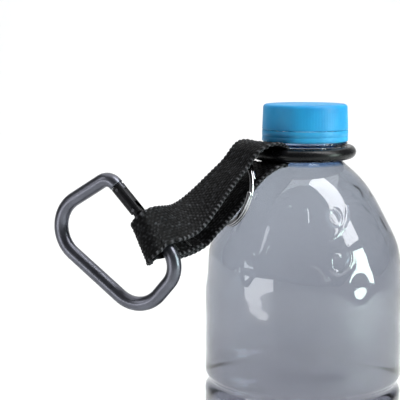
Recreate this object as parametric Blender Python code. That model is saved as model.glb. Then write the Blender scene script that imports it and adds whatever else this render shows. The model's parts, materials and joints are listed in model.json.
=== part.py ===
"""Clear drinking bottle with a screw cap, a rubber neck ring, a webbing strap,
a split key ring and a small spring-gate carabiner.  Built upright, +Z up."""
import math

import bmesh
import bpy
from mathutils import Matrix, Vector

MM = 0.001

# ---- bottle (millimetres; DEPTH values are measured down from the cap's top) ----
HEIGHT = 218.0
BODY_R = 35.5
WALL = 0.55
NECK_ROOT_R = 12.45
NECK_BORE_R = 10.9
COLLAR_R = 13.0
LEDGE_R = 15.2
LEDGE_TOP = 13.45
LEDGE_BOTTOM = 14.1
LIP_DEPTH = 2.1
GROOVE_DEPTHS = (100.0, 112.0, 124.0, 136.0)
GROOVE_DEEP = 1.5
GROOVE_HALF = 3.4
BOTTLE_SEGS = 40
SHOULDER = ((COLLAR_R, 19.6), (14.2, 21.1), (17.6, 23.9), (21.2, 27.5), (25.2, 33.0),
            (28.6, 39.0), (31.7, 45.2), (33.7, 50.0), (34.9, 55.5), (BODY_R, 63.0))
HEEL = ((BODY_R, 203.0), (35.0, 209.0), (33.2, 214.2), (30.6, 217.2), (28.0, 218.0))
BASE_GROOVE = ((22.0, 218.0), (20.5, 216.4), (11.5, 216.4), (10.0, 218.0))
WATER_TOP = 20.6
WATER_NECK = ((11.35, WATER_TOP), (11.75, 21.45), (16.35, 25.05))
WATER_GAP = 0.3

# ---- cap, liner and band ----
CAP_R = 15.0
CAP_FOOT_R = 15.3
CAP_FOOT = 9.05
CAP_BORE_R = 13.75
CAP_ROOF = 1.35
KNURL_COUNT = 36
KNURL_DEEP = 0.16
LINER_R = 12.1
LINER_TOP = 1.5
LINER_THICK = 0.35
BAND_TOP = 9.4
BAND_FOOT = 13.2
BAND_BORE_R = 13.3
PITCH = 3.0
THREAD_TURNS = 1.25
THREAD_BASE = 1.25
THREAD_CREST = 0.7
NECK_CREST_R = 13.35
CAP_CREST_R = 12.85
NECK_THREAD_START = 8.0
CAP_THREAD_START = 8.0 - PITCH / 2

# ---- rubber ring on the neck ----
STRAP_AZIMUTH = math.radians(40.0)
OUT = Vector((-math.cos(STRAP_AZIMUTH), -math.sin(STRAP_AZIMUTH), 0.0))
RING_R = 16.6
RING_TUBE_R = 2.3
RING_SHIFT = 0.9
RING_DEPTH = 17.15
RING_TILT = math.radians(1.2)

# ---- webbing strap ----
STRAP_W = 15.0
STRAP_T = 1.1
STRAP_BOW = 0.6
LOOP_GAP = 0.4
WIRE_GAP = 1.0
LOOP_CARABINER = Vector((-52.0, -41.0, -40.2))
START_RISE = math.radians(22.4)
START_LEN = 34.0
END_DIR = Vector((-0.758, -0.26, 0.3))
END_LEN = 22.0
STRAP_SAG = 8.0
SAG_SKEW = 2.5
STRAP_SWAY = -2.0
TWIST_FROM = 0.206
TWIST_TO = 1.0
HUMP = 2.06
HUMP_END = 0.29
FOLD_SKEW = 5.5
FOLD_FROM = 0.85
LAYER_STEP = STRAP_T + 0.35
INNER_END = 0.63
OUTER_END = 0.82
STEP_FROM = 0.54
TACKS = ((0.685, "stitch_row_inner"), (0.765, "stitch_row_outer"))
TACK_W = 11.0
TACK_LONG = 1.4
TACK_GAP = 0.32

# ---- split ring ----
SPLIT_OD = 24.0
SPLIT_RADIAL = 1.7
SPLIT_AXIAL = 0.85
SPLIT_PITCH = 1.05
SPLIT_AT = 0.343
SPLIT_SIDE = -0.37
SPLIT_LIFT = -0.29
SPLIT_TILT = math.radians(32.6)
SPLIT_YAW = math.radians(15.4)

# ---- carabiner, drawn in its own upright plane (u across, v up, from the strap loop) ----
WIRE_R = 2.4
PLANE_U = Vector((0.894, -0.447, 0.0)).normalized()
PLANE_N = Vector((-0.447, -0.894, 0.0)).normalized()
LOOP_SLIDE = 1.2
CORNERS = (((-18.0, 18.6), 4.2), ((-46.2, 1.6), 11.0), ((-6.1, -26.9), 11.0), ((9.0, -9.3), 8.4))
GATE_HINGE = 10.2
GATE_TIP = 20.2
TONGUE_T = 1.6
SLOT_W = 2.2
PIN_R = 0.55
"""Distances along the gate line are counted from the strap loop towards the nose."""


def clear_scene():
    for obj in list(bpy.data.objects):
        bpy.data.objects.remove(obj, do_unlink=True)


def material(name, color, rough=0.5, metal=0.0, transmission=0.0, ior=1.45):
    mat = bpy.data.materials.new(name)
    mat.use_nodes = True
    node = mat.node_tree.nodes["Principled BSDF"]
    node.inputs["Base Color"].default_value = (*color, 1.0)
    node.inputs["Roughness"].default_value = rough
    node.inputs["Metallic"].default_value = metal
    node.inputs["Transmission Weight"].default_value = transmission
    node.inputs["IOR"].default_value = ior
    return mat


def finish_object(name, bm, mat, origin=Vector((0, 0, 0)), smooth=True):
    """Turn a millimetre mesh into a named object in metres with its origin on its own axis."""
    bmesh.ops.recalc_face_normals(bm, faces=bm.faces)
    bmesh.ops.triangulate(bm, faces=[f for f in bm.faces if len(f.verts) > 4])
    for vert in bm.verts:
        vert.co = (vert.co - origin) * MM
    for face in bm.faces:
        face.smooth = smooth
    mesh = bpy.data.meshes.new(name)
    bm.to_mesh(mesh)
    bm.free()
    obj = bpy.data.objects.new(name, mesh)
    obj.location = origin * MM
    obj.data.materials.append(mat)
    bpy.context.scene.collection.objects.link(obj)
    return obj


def revolve(profile, segs, radius_fn=None):
    """Lathe (radius, depth) points about Z.  Points on the axis become poles."""
    bm = bmesh.new()
    rings = []
    for index, (radius, depth) in enumerate(profile):
        z = HEIGHT - depth
        if radius < 1e-6:
            rings.append([bm.verts.new((0, 0, z))])
            continue
        ring = []
        for k in range(segs):
            a = 2 * math.pi * k / segs
            r = radius_fn(index, k, radius) if radius_fn else radius
            ring.append(bm.verts.new((r * math.cos(a), r * math.sin(a), z)))
        rings.append(ring)
    closed = len(rings[0]) > 1
    pairs = list(zip(rings, rings[1:] + rings[:1])) if closed else list(zip(rings, rings[1:]))
    for low, high in pairs:
        for k in range(segs):
            n = (k + 1) % segs
            if len(low) == 1:
                bm.faces.new((low[0], high[k], high[n]))
            elif len(high) == 1:
                bm.faces.new((low[k], low[n], high[0]))
            else:
                bm.faces.new((low[k], low[n], high[n], high[k]))
    return bm


def sweep(sections, closed=False):
    """Skin a run of equal-length vertex rings; open runs get end faces."""
    bm = bmesh.new()
    rings = [[bm.verts.new(p) for p in section] for section in sections]
    count = len(rings[0])
    pairs = list(zip(rings, rings[1:] + rings[:1])) if closed else list(zip(rings, rings[1:]))
    for low, high in pairs:
        for k in range(count):
            n = (k + 1) % count
            bm.faces.new((low[k], low[n], high[n], high[k]))
    if not closed:
        bm.faces.new(list(reversed(rings[0])))
        bm.faces.new(rings[-1])
    return bm


def cylinder(start, end, radius, segs=24):
    axis = (end - start).normalized()
    side = axis.orthogonal().normalized()
    other = axis.cross(side)
    sections = []
    for centre in (start, end):
        ring = []
        for k in range(segs):
            a = 2 * math.pi * k / segs
            ring.append(centre + side * (radius * math.cos(a)) + other * (radius * math.sin(a)))
        sections.append(ring)
    return sweep(sections)


def prism(outline, place, low, high):
    """Extrude a flat outline; place(x, y, h) gives the 3-D point."""
    return sweep([[place(x, y, h) for x, y in outline] for h in (low, high)])


def boolean(bm_a, bm_b, operation):
    """Exact mesh Boolean of two millimetre meshes; returns a new mesh."""
    objects = []
    for bm in (bm_a, bm_b):
        bmesh.ops.recalc_face_normals(bm, faces=bm.faces)
        mesh = bpy.data.meshes.new("work")
        bm.to_mesh(mesh)
        bm.free()
        obj = bpy.data.objects.new("work", mesh)
        bpy.context.scene.collection.objects.link(obj)
        objects.append(obj)
    base, tool = objects
    mod = base.modifiers.new("cut", "BOOLEAN")
    mod.operation = operation
    mod.solver = "EXACT"
    mod.object = tool
    bpy.context.view_layer.update()
    graph = bpy.context.evaluated_depsgraph_get()
    result = bmesh.new()
    result.from_object(base, graph)
    for obj in objects:
        bpy.data.objects.remove(obj, do_unlink=True)
    bmesh.ops.remove_doubles(result, verts=result.verts, dist=0.0005)
    bmesh.ops.dissolve_degenerate(result, edges=result.edges, dist=0.0005)
    return result


def from_top(x, y, depth):
    return Vector((x, y, HEIGHT - depth))


# ------------------------------------------------------------------ bottle
def helix_ridge(root_r, crest_r, start_depth, turns, segs_per_turn=40):
    """A tapering helical thread ridge from root_r (buried) to crest_r."""
    sections = []
    total = int(turns * segs_per_turn)
    for k in range(total + 1):
        a = 2 * math.pi * k / segs_per_turn
        fade = min(1.0, k / 4.0, (total - k) / 4.0)
        depth = start_depth - PITCH * k / segs_per_turn
        crest = root_r + (crest_r - root_r) * (0.25 + 0.75 * fade)
        ring = []
        for r, half in ((root_r, THREAD_BASE / 2), (crest, THREAD_CREST / 2),
                        (crest, -THREAD_CREST / 2), (root_r, -THREAD_BASE / 2)):
            z = HEIGHT - depth + half
            ring.append(Vector((r * math.cos(a), r * math.sin(a), z)))
        sections.append(ring)
    return sweep(sections)


def groove_points():
    points = []
    for depth in GROOVE_DEPTHS:
        points += [(BODY_R, depth - GROOVE_HALF), (BODY_R - GROOVE_DEEP, depth), (BODY_R, depth + GROOVE_HALF)]
    return points


def outer_profile():
    """Outside of the bottle from the mouth down to the base centre."""
    neck = [(NECK_BORE_R + 0.35, LIP_DEPTH), (NECK_ROOT_R - 0.3, LIP_DEPTH), (NECK_ROOT_R, LIP_DEPTH + 0.35),
            (NECK_ROOT_R, LEDGE_TOP - 0.15), (NECK_ROOT_R + 0.4, LEDGE_TOP), (LEDGE_R - 0.2, LEDGE_TOP),
            (LEDGE_R, LEDGE_TOP + 0.2), (LEDGE_R, LEDGE_BOTTOM - 0.2), (LEDGE_R - 0.25, LEDGE_BOTTOM),
            (COLLAR_R, LEDGE_BOTTOM + 0.15)]
    return neck + list(SHOULDER) + groove_points() + list(HEEL) + list(BASE_GROOVE) + [(0.0, 218.0)]


def offset_profile(points, distance):
    """Move an open profile towards the axis by a constant normal distance."""
    moved = []
    for i, (r, d) in enumerate(points):
        before = points[max(i - 1, 0)]
        after = points[min(i + 1, len(points) - 1)]
        dr, dd = after[0] - before[0], after[1] - before[1]
        length = math.hypot(dr, dd)
        moved.append((r - distance * dd / length, d + distance * dr / length))
    return moved


def inner_profile(extra=0.0):
    """Inside of the bottle from below the neck to the base centre."""
    wall = offset_profile(list(SHOULDER[3:]) + groove_points() + list(HEEL[:3]), WALL + extra)
    base = 218.0 - 2.4 - extra
    return wall + [(HEEL[3][0] - 1.2 - extra, base), (0.0, base)]


def make_bottle():
    neck_in = [(NECK_BORE_R, LIP_DEPTH + 0.35), (NECK_BORE_R, 18.5), (12.0, 21.2), (16.6, 24.8)]
    profile = list(reversed(outer_profile())) + neck_in + inner_profile()
    body = revolve(profile, BOTTLE_SEGS)
    ridge = helix_ridge(NECK_ROOT_R - 0.35, NECK_CREST_R, NECK_THREAD_START, THREAD_TURNS)
    return boolean(body, ridge, "UNION")


def make_water():
    """The filling: stops just short of the wall so it stays a separate solid."""
    profile = [(0.0, WATER_TOP)] + list(WATER_NECK) + inner_profile(WATER_GAP)
    return revolve(profile, BOTTLE_SEGS)


# ------------------------------------------------------------------ cap
def make_cap():
    profile = [(0.0, 0.0), (CAP_R - 1.0, 0.0), (CAP_R - 0.3, 0.25), (CAP_R, 0.9),
               (CAP_FOOT_R - 0.12, CAP_FOOT - 0.9), (CAP_FOOT_R, CAP_FOOT - 0.5), (CAP_FOOT_R, CAP_FOOT),
               (CAP_BORE_R, CAP_FOOT), (CAP_BORE_R, CAP_ROOF + 0.5), (CAP_BORE_R - 0.4, CAP_ROOF),
               (0.0, CAP_ROOF)]

    def knurl(index, k, radius):
        return radius - KNURL_DEEP if index in (3, 4) and k % 2 else radius

    body = revolve(profile, KNURL_COUNT * 2, knurl)
    ridge = helix_ridge(CAP_BORE_R + 0.3, CAP_CREST_R, CAP_THREAD_START, THREAD_TURNS - 0.25)
    return boolean(body, ridge, "UNION")


def make_liner():
    profile = [(0.0, LINER_TOP), (LINER_R, LINER_TOP), (LINER_R, LINER_TOP + LINER_THICK),
               (0.0, LINER_TOP + LINER_THICK)]
    return revolve(profile, 40)


def make_band():
    """Tamper band with an inward bead that cannot pass the ledge."""
    profile = [(CAP_FOOT_R, BAND_TOP), (CAP_FOOT_R, BAND_FOOT - 0.3), (CAP_FOOT_R - 0.25, BAND_FOOT),
               (BAND_BORE_R, BAND_FOOT), (BAND_BORE_R - 0.45, BAND_FOOT - 1.2), (BAND_BORE_R, BAND_FOOT - 1.9),
               (BAND_BORE_R + 0.5, BAND_TOP)]
    return revolve(profile, 48)


# ------------------------------------------------------------------ neck ring
def ring_frame():
    """Centre, out, along and up of the tilted neck ring."""
    side = Vector((0, 0, 1)).cross(OUT)
    out = OUT * math.cos(RING_TILT) - Vector((0, 0, 1)) * math.sin(RING_TILT)
    up = out.cross(side)
    centre = from_top(0, 0, RING_DEPTH) + OUT * RING_SHIFT
    return centre, out, side, up


def make_neck_ring():
    centre, out, side, up = ring_frame()
    sections = []
    for k in range(44):
        a = 2 * math.pi * k / 44
        radial = out * math.cos(a) + side * math.sin(a)
        ring = []
        for j in range(12):
            b = 2 * math.pi * j / 12
            ring.append(centre + radial * (RING_R + RING_TUBE_R * math.cos(b)) + up * (RING_TUBE_R * math.sin(b)))
        sections.append(ring)
    return sweep(sections, closed=True)


# ------------------------------------------------------------------ strap
def loop_point():
    centre, out, side, up = ring_frame()
    return centre + out * RING_R


def carabiner_point():
    return LOOP_CARABINER + Vector((0, 0, HEIGHT))


def wire_direction():
    """Along the rod inside the strap's loop, away from the nose."""
    gu, gv = gate_direction()
    return -(PLANE_U * gu + Vector((0, 0, gv)))


def end_direction():
    wire = wire_direction()
    return (END_DIR - wire * END_DIR.dot(wire)).normalized()


def smoothstep(x):
    x = max(0.0, min(1.0, x))
    return x * x * (3 - 2 * x)


def strap_side():
    """Direction of the neck ring's own line where the strap hangs, towards the viewer's side."""
    return OUT.cross(Vector((0, 0, -1)))


def strap_centre(a):
    p0, p1 = loop_point(), carabiner_point()
    start_dir = OUT * math.cos(START_RISE) + Vector((0, 0, 1)) * math.sin(START_RISE)
    point = p0 * (2 * a ** 3 - 3 * a ** 2 + 1) + start_dir * (START_LEN * (a ** 3 - 2 * a ** 2 + a))
    point += p1 * (3 * a ** 2 - 2 * a ** 3) + end_direction() * (END_LEN * (a ** 3 - a ** 2))
    swell = math.sin(math.pi * a) ** 2
    drop = STRAP_SAG - SAG_SKEW * math.cos(math.pi * a)
    return point - Vector((0, 0, 1)) * (drop * swell) + strap_side() * (STRAP_SWAY * swell)


def strap_frame(a):
    """Middle of the doubled strap at fraction a: point, run, width and face directions."""
    run = (strap_centre(a + 0.001) - strap_centre(a - 0.001)).normalized()
    blend = smoothstep((a - TWIST_FROM) / (TWIST_TO - TWIST_FROM))
    width = strap_side() * (1 - blend) + wire_direction() * blend
    width = (width - run * width.dot(run)).normalized()
    face = run.cross(width).normalized()
    return strap_centre(a), run, width, face


def half_gap(a):
    ring_half = RING_TUBE_R + LOOP_GAP + STRAP_T / 2
    wire_half = WIRE_R + WIRE_GAP + STRAP_T / 2
    return ring_half + (wire_half - ring_half) * smoothstep(a) + STRAP_BOW * math.sin(math.pi * a)


def hump(a):
    """Extra lift of the front layer where the stiff webbing bulges past the ring."""
    return HUMP * math.sin(math.pi * a / HUMP_END) ** 2 if a < HUMP_END else 0.0


def fold_shift(a, run):
    """Shift per unit across the strap that lets one side of the fold hang further out."""
    return run * (FOLD_SKEW * smoothstep((a - FOLD_FROM) / (1 - FOLD_FROM)))


def ribbon_section(point, width, face, cup, shift):
    """Rounded flat section; cup wraps it about the neck ring's own axis."""
    half_w, half_t = STRAP_W / 2, STRAP_T / 2
    outline = [(-half_w, -0.25), (-half_w + 0.3, -half_t), (-half_w / 2, -half_t), (half_w / 2, -half_t),
               (half_w - 0.3, -half_t), (half_w, -0.25), (half_w, 0.25), (half_w - 0.3, half_t),
               (half_w / 2, half_t), (-half_w / 2, half_t), (-half_w + 0.3, half_t), (-half_w, 0.25)]
    centre, _out, _side, up = ring_frame()
    turn = 1.0 if up.cross(OUT).dot(width) > 0 else -1.0
    ring = []
    for w, t in outline:
        middle = point + face * t
        bent = centre + Matrix.Rotation(turn * w / RING_R, 3, up) @ (middle - centre)
        slide = shift * ((w + half_w) / STRAP_W)
        ring.append((middle + width * w).lerp(bent, cup) + slide)
    return ring


def cup_at(a):
    return 1.0 - smoothstep(a / 0.22)


def layer_sections(start, end, steps, side, extra=None):
    """Ribbon sections along one layer; side +1 is the front, -1 the back."""
    sections = []
    for k in range(steps + 1):
        a = start + (end - start) * k / steps
        point, run, width, face = strap_frame(a)
        off = half_gap(a) + (extra(a) if extra else 0.0)
        middle = point + face * (side * off)
        sections.append(ribbon_section(middle, width, face * side, cup_at(a), fold_shift(a, run)))
    return sections


def turn_sections(a, steps):
    """Half turn round the ring (a = 0) or the carabiner wire (a = 1), back layer to front or reverse."""
    point, run, width, face = strap_frame(a)
    radius = half_gap(a)
    sections = []
    for k in range(1, steps):
        b = math.pi * k / steps
        if a > 0.5:
            radial = -face * math.cos(b) + run * math.sin(b)
        else:
            radial = face * math.cos(b) - run * math.sin(b)
        sections.append(ribbon_section(point + radial * radius, width, radial, cup_at(a), fold_shift(a, run)))
    return sections


def make_strap():
    """One length of webbing: inner end, round the wire, up the front, round the ring, down the back."""
    def step_out(a):
        return LAYER_STEP * smoothstep((a - STEP_FROM) / (INNER_END - 0.012 - STEP_FROM))

    sections = layer_sections(INNER_END, 1.0, 7, -1)
    sections += turn_sections(1.0, 10)
    sections += layer_sections(1.0, 0.0, 26, 1, hump)
    sections += turn_sections(0.0, 10)
    sections += layer_sections(0.0, STEP_FROM, 10, -1)
    sections += layer_sections(STEP_FROM, OUTER_END, 10, -1, step_out)[1:]
    body = sweep(sections)
    for a, _name in TACKS:
        body = boolean(body, tack_block(a, TACK_W + 0.4, TACK_LONG + 0.4, 2.5, 2.5), "DIFFERENCE")
    return body


def tack_block(a, wide, long, above, below):
    point, run, width, face = strap_frame(a)
    middle = point - face * (half_gap(a) + LAYER_STEP / 2)
    outline = [(-wide / 2, -long / 2), (wide / 2, -long / 2), (wide / 2, long / 2), (-wide / 2, long / 2)]
    return prism(outline, lambda x, y, h: middle + width * x + run * y + face * h, -below, above)


def make_tack(a):
    """A dense row of stitching: a core through both layers with a flat head on each face."""
    reach = LAYER_STEP / 2 + STRAP_T / 2 + TACK_GAP
    core = tack_block(a, TACK_W, TACK_LONG, reach + 0.15, reach + 0.15)
    for low, high in ((reach, reach + 0.35), (-reach - 0.35, -reach)):
        head = tack_block(a, TACK_W + 1.0, TACK_LONG + 1.0, high, -low)
        core = boolean(core, head, "UNION")
    return core


# ------------------------------------------------------------------ split ring
def split_frame():
    point, run, width, face = strap_frame(SPLIT_AT)
    centre = point - face * (half_gap(SPLIT_AT) - SPLIT_LIFT) + width * SPLIT_SIDE
    up = -run * math.cos(SPLIT_TILT) + face * math.sin(SPLIT_TILT)
    across = width * math.cos(SPLIT_YAW) + face * math.sin(SPLIT_YAW)
    axis = across.cross(up).normalized()
    return centre, up.cross(axis), up, axis


def make_split_ring():
    """Two turns of flat wire, one above the other, joined as a spiral."""
    centre, width, up, axis = split_frame()
    sections = []
    turns, per_turn = 1.94, 36
    count = int(turns * per_turn)
    outer = SPLIT_OD / 2
    for k in range(count + 1):
        a = 2 * math.pi * k / per_turn + 0.6
        rise = SPLIT_PITCH * (smoothstep((k / per_turn - 0.72) / 0.5) - 0.5)
        radial = width * math.cos(a) + up * math.sin(a)
        ring = []
        for r, h in ((outer - SPLIT_RADIAL, -0.3), (outer - SPLIT_RADIAL + 0.2, -SPLIT_AXIAL / 2),
                     (outer - 0.2, -SPLIT_AXIAL / 2), (outer, -0.3), (outer, 0.3),
                     (outer - 0.2, SPLIT_AXIAL / 2), (outer - SPLIT_RADIAL + 0.2, SPLIT_AXIAL / 2),
                     (outer - SPLIT_RADIAL, 0.3)):
            ring.append(centre + radial * r + axis * (h + rise))
        sections.append(ring)
    return sweep(sections)


# ------------------------------------------------------------------ carabiner
def gate_direction():
    """Unit vector in plane coordinates from the strap loop towards the nose."""
    (au, av), _r = CORNERS[0]
    (du, dv), _r = CORNERS[3]
    length = math.hypot(au - du, av - dv)
    return (au - du) / length, (av - dv) / length


def plane_point(u, v, n=0.0):
    return carabiner_point() + PLANE_U * u + Vector((0, 0, v)) + PLANE_N * n


def gate_point(s, inward=0.0, n=0.0):
    """Point at distance s along the gate line, inward into the carabiner, n out of its plane."""
    gu, gv = gate_direction()
    return plane_point(gu * s - gv * inward, gv * s + gu * inward, n)


def wire_path():
    """Frame centre line from the hinge round the far side to the nose, as plane (u, v) points."""
    gu, gv = gate_direction()
    corners = [((u - gu * LOOP_SLIDE, v - gv * LOOP_SLIDE), r) for (u, v), r in CORNERS]
    order = [corners[3], corners[2], corners[1], corners[0]]
    path = []
    count = len(order)
    for i in range(count):
        (px, py), radius = order[i]
        here = Vector((px, py))
        before = Vector(order[(i - 1) % count][0])
        after = Vector(order[(i + 1) % count][0])
        d_in, d_out = (before - here).normalized(), (after - here).normalized()
        half = d_in.angle(d_out) / 2
        bisector = (d_in + d_out).normalized()
        centre = here + bisector * (radius / math.sin(half))
        start = here + d_in * (radius / math.tan(half)) - centre
        end = here + d_out * (radius / math.tan(half)) - centre
        sweep_angle = math.atan2(start.x * end.y - start.y * end.x, start.dot(end))
        steps = max(5, int(abs(sweep_angle) * radius / 2.2) + 3)
        for k in range(steps + 1):
            a = sweep_angle * k / steps
            c, s = math.cos(a), math.sin(a)
            path.append((centre.x + start.x * c - start.y * s, centre.y + start.x * s + start.y * c))
    return path


def wire_tube(points, segs=14):
    sections = []
    for i, (u, v) in enumerate(points):
        before = Vector(points[max(i - 1, 0)])
        after = Vector(points[min(i + 1, len(points) - 1)])
        tangent = (after - before).normalized()
        ring = []
        for k in range(segs):
            a = 2 * math.pi * (k + 0.5) / segs
            w = WIRE_R * math.cos(a)
            ring.append(plane_point(u - tangent.y * w, v + tangent.x * w, WIRE_R * math.sin(a)))
        sections.append(ring)
    return sweep(sections)


def plane_coords(point):
    d = point - carabiner_point()
    return d.dot(PLANE_U), d.z


def tongue(outline, thick):
    return prism(outline, lambda s, w, n: gate_point(s, w, n), -thick / 2, thick / 2)


def arc_outline(s0, radius, start, end, steps):
    out = []
    for k in range(steps + 1):
        a = start + (end - start) * k / steps
        out.append((s0 + radius * math.cos(a), radius * math.sin(a)))
    return out


def make_frame():
    """Bent rod with a hinge tongue at one end and a hooked nose tongue at the other."""
    hinge_face = GATE_HINGE - 1.9
    nose_face = GATE_TIP + 0.45
    path = [plane_coords(gate_point(hinge_face))] + wire_path() + [plane_coords(gate_point(nose_face))]
    body = wire_tube(path)
    hinge = [(hinge_face - 1.0, 1.9), (hinge_face - 1.0, -1.9)] + \
        arc_outline(GATE_HINGE, 1.55, -math.pi / 2, math.pi / 2, 10)
    body = boolean(body, tongue(hinge, TONGUE_T), "UNION")
    nose = [(nose_face + 1.0, -1.9), (nose_face + 1.0, 1.2), (nose_face - 0.5, 1.2), (nose_face - 0.8, -0.75),
            (nose_face - 2.6, -0.75), (nose_face - 2.6, -2.0)]
    body = boolean(body, tongue(nose, TONGUE_T), "UNION")
    hole = cylinder(gate_point(GATE_HINGE, 0, -3), gate_point(GATE_HINGE, 0, 3), PIN_R + 0.12, 16)
    return boolean(body, hole, "DIFFERENCE")


def gate_rod():
    start, end = GATE_HINGE - 1.6, GATE_TIP
    return cylinder(gate_point(start), gate_point(end), WIRE_R - 0.1, 24)


def make_gate():
    body = gate_rod()
    # relief on the inner side of the hinge end lets it swing
    relief = [(GATE_HINGE - 4.0, 0.0), (GATE_HINGE - 1.6, 0.0), (GATE_HINGE - 1.6 + 3.0 * math.tan(0.5), 3.0),
              (GATE_HINGE - 4.0, 3.0)]
    body = boolean(body, tongue(relief, 8.0), "DIFFERENCE")
    hinge_slot = [(GATE_HINGE - 4.0, -4.0), (GATE_HINGE + 2.1, -4.0), (GATE_HINGE + 2.1, 4.0),
                  (GATE_HINGE - 4.0, 4.0)]
    body = boolean(body, tongue(hinge_slot, SLOT_W), "DIFFERENCE")
    nose_slot = [(GATE_TIP - 2.6, -4.0), (GATE_TIP + 3.0, -4.0), (GATE_TIP + 3.0, 4.0), (GATE_TIP - 2.6, 4.0)]
    body = boolean(body, tongue(nose_slot, SLOT_W), "DIFFERENCE")
    bore = cylinder(gate_point(GATE_HINGE + 1.0), gate_point(GATE_HINGE + 7.2), 1.25, 16)
    body = boolean(body, bore, "DIFFERENCE")
    for s, w in ((GATE_HINGE, 0.0), (GATE_TIP - 1.25, 0.0)):
        hole = cylinder(gate_point(s, w, -4), gate_point(s, w, 4), PIN_R + 0.12, 16)
        body = boolean(body, hole, "DIFFERENCE")
    return body


def make_pin(s, length):
    return cylinder(gate_point(s, 0, -length / 2), gate_point(s, 0, length / 2), PIN_R, 16)


def make_plunger():
    """Headed rod that the spring presses against the frame's tongue."""
    body = cylinder(gate_point(GATE_HINGE + 1.75), gate_point(GATE_HINGE + 2.35), 0.95, 16)
    stem = cylinder(gate_point(GATE_HINGE + 2.0), gate_point(GATE_HINGE + 4.4), 0.4, 12)
    return boolean(body, stem, "UNION")


def make_spring():
    sections = []
    coils, per_coil = 4, 12
    wire = 0.16
    start, end = GATE_HINGE + 2.65, GATE_HINGE + 6.9
    count = coils * per_coil
    for k in range(count + 1):
        a = 2 * math.pi * k / per_coil
        s = start + (end - start) * k / count
        ring = []
        for j in range(4):
            b = 2 * math.pi * j / 4
            r = 0.85 + wire * math.cos(b)
            ring.append(gate_point(s + wire * math.sin(b), r * math.cos(a), r * math.sin(a)))
        sections.append(ring)
    return sweep(sections)


def main():
    clear_scene()
    pet = material("clear_pet", (0.86, 0.9, 0.93), 0.05, 0.0, 1.0, 1.57)
    water = material("water", (0.9, 0.95, 0.98), 0.0, 0.0, 1.0, 1.33)
    blue = material("blue_cap_plastic", (0.02, 0.25, 0.62), 0.4)
    liner = material("liner_white", (0.8, 0.82, 0.84), 0.6)
    rubber = material("black_rubber", (0.012, 0.012, 0.014), 0.55)
    nylon = material("black_nylon", (0.02, 0.02, 0.023), 0.8)
    thread = material("black_thread", (0.03, 0.03, 0.034), 0.7)
    steel = material("bright_steel", (0.78, 0.79, 0.82), 0.15, 1.0)
    grey = material("grey_anodised", (0.16, 0.17, 0.21), 0.3, 1.0)
    black = material("black_anodised", (0.02, 0.02, 0.025), 0.4, 0.6)
    zinc = material("pin_steel", (0.5, 0.5, 0.52), 0.35, 1.0)

    axis_top = from_top(0, 0, 0)
    finish_object("bottle_shell", make_bottle(), pet)
    finish_object("water_fill", make_water(), water)
    finish_object("screw_cap", make_cap(), blue, axis_top)
    finish_object("cap_liner", make_liner(), liner, axis_top)
    finish_object("tamper_band", make_band(), blue, from_top(0, 0, BAND_TOP))
    finish_object("neck_ring", make_neck_ring(), rubber, ring_frame()[0])
    finish_object("webbing_strap", make_strap(), nylon, loop_point())
    for a, name in TACKS:
        finish_object(name, make_tack(a), thread, strap_frame(a)[0], smooth=False)
    finish_object("split_ring", make_split_ring(), steel, split_frame()[0])
    finish_object("carabiner_frame", make_frame(), grey, carabiner_point())
    hinge = gate_point(GATE_HINGE)
    finish_object("gate", make_gate(), black, hinge)
    finish_object("gate_hinge_pin", make_pin(GATE_HINGE, 4.5), zinc, hinge)
    finish_object("gate_latch_pin", make_pin(GATE_TIP - 1.25, 4.4), zinc, gate_point(GATE_TIP - 1.25))
    finish_object("gate_plunger", make_plunger(), zinc, gate_point(GATE_HINGE + 2.0))
    finish_object("gate_spring", make_spring(), steel, gate_point(GATE_HINGE + 2.65))


main()
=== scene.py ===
"""Visual model of the clear bottle, its strap, key ring and carabiner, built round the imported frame."""

import json
import math

import bmesh
import bpy
import numpy as np
from mathutils import Matrix, Vector


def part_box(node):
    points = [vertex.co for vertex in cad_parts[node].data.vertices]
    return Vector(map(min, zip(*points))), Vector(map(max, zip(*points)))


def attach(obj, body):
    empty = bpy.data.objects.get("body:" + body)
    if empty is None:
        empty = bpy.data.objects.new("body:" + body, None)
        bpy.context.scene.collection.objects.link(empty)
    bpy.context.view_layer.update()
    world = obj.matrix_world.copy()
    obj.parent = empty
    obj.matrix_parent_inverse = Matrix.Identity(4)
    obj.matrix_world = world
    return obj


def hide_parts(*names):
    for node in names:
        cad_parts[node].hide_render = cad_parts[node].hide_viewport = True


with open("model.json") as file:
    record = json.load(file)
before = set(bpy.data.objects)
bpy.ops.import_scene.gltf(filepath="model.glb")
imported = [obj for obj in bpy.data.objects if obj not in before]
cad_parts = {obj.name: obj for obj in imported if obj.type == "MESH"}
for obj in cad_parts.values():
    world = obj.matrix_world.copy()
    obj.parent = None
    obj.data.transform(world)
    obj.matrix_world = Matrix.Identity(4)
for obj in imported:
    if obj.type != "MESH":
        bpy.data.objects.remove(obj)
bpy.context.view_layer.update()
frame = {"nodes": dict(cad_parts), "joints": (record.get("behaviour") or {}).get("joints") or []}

MM = 0.001
UP = Vector((0.0, 0.0, 1.0))
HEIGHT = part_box("screw_cap")[1].z / MM

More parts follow.
